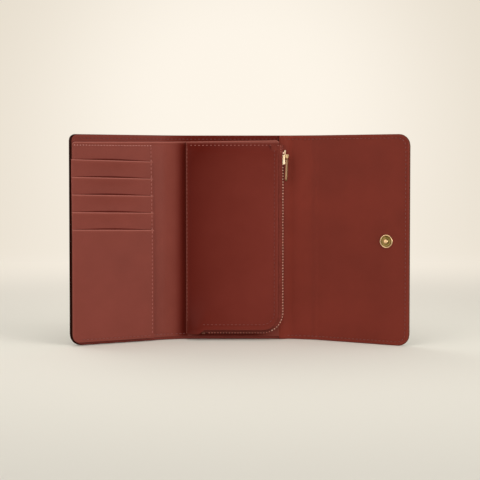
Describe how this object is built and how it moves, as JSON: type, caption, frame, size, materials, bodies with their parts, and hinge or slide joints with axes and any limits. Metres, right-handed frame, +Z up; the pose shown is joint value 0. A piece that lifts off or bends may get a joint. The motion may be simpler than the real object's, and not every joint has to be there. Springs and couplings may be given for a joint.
{
  "type": "tri-fold wallet",
  "caption": "Tri-fold leather wallet standing open, with card pockets, a zipped coin pocket and a snap flap.",
  "frame": {"origin": "centre of the standing wallet's box at the surface that it stands on", "axes": "+X to the reader's right when the open inside is read, -Y towards the reader, +Z up"},
  "size_m": [0.241, 0.0386, 0.15],
  "materials": {
    "outer_leather": "smooth semi-gloss dark brown leather with painted edges",
    "red_leather": "smooth semi-gloss brick red leather",
    "cloth": "woven dark red tape and lining",
    "leather_board": "bonded leather board, hidden",
    "brass": "polished warm brass"
  },
  "bodies": {
    "middle_panel": {"shell_middle": "outer_leather", "board_middle": "leather_board", "bill_lining_middle": "red_leather", "bill_divider": "red_leather", "coin_pocket_back": "cloth", "coin_pocket_front": "red_leather", "coin_pocket_front_lining": "cloth", "zip_tape_front": "cloth", "zip_tape_back": "cloth", "zip_teeth_front": "brass", "zip_teeth_back": "brass", "zip_top_stops": "brass", "zip_end_stop": "brass"},
    "left_spine": {"shell_left_spine": "outer_leather", "bill_lining_left_spine": "red_leather", "divider_left_spine": "red_leather"},
    "card_wing": {"shell_card_wing": "outer_leather", "board_card_wing": "leather_board", "bill_lining_card_wing": "red_leather", "card_panel": "red_leather", "card_pocket_1": "red_leather", "card_pocket_2": "red_leather", "card_pocket_3": "red_leather", "card_pocket_4": "red_leather", "card_pocket_5": "red_leather", "snap_socket": "brass", "snap_socket_rivet": "brass"},
    "right_spine": {"shell_right_spine": "outer_leather", "lining_right_spine": "red_leather"},
    "flap": {"shell_flap": "outer_leather", "board_flap": "leather_board", "lining_flap": "red_leather", "snap_stud": "brass", "snap_cap": "brass"},
    "slider": {"zip_slider": "brass", "slider_bail": "brass"},
    "pull": {"pull_tab": "brass"}
  },
  "joints": [
    {"name": "left_spine_fold", "type": "hinge", "parent": "middle_panel", "child": "left_spine", "pos_m": [-0.04074, 0.01811, 0.075], "axis": [0, 0, 1], "range_deg": [-12.65, 77.35]},
    {"name": "card_wing_fold", "type": "hinge", "parent": "left_spine", "child": "card_wing", "pos_m": [-0.055, 0.01491, 0.075], "axis": [0, 0, 1], "range_deg": [-12.65, 77.35]},
    {"name": "right_spine_fold", "type": "hinge", "parent": "middle_panel", "child": "right_spine", "pos_m": [0.0373, 0.01811, 0.075], "axis": [0, 0, -1], "range_deg": [-13.5, 76.5]},
    {"name": "flap_fold", "type": "hinge", "parent": "right_spine", "child": "flap", "pos_m": [0.05671, 0.01345, 0.075], "axis": [0, 0, -1], "range_deg": [-13.5, 76.5]},
    {"name": "zip_slide", "type": "slide", "parent": "middle_panel", "child": "slider", "axis": [0, 0, -1], "range_m": [0, 0.107]},
    {"name": "pull_swing", "type": "hinge", "parent": "slider", "child": "pull", "pos_m": [0.03499, 0.01145, 0.1347], "axis": [-0.2079, -0.9781, 0], "range_deg": [0, 180]}
  ],
  "couplings": [
    {"joint": "card_wing_fold", "follows": "left_spine_fold", "ratio": 1},
    {"joint": "flap_fold", "follows": "right_spine_fold", "ratio": 1}
  ]
}
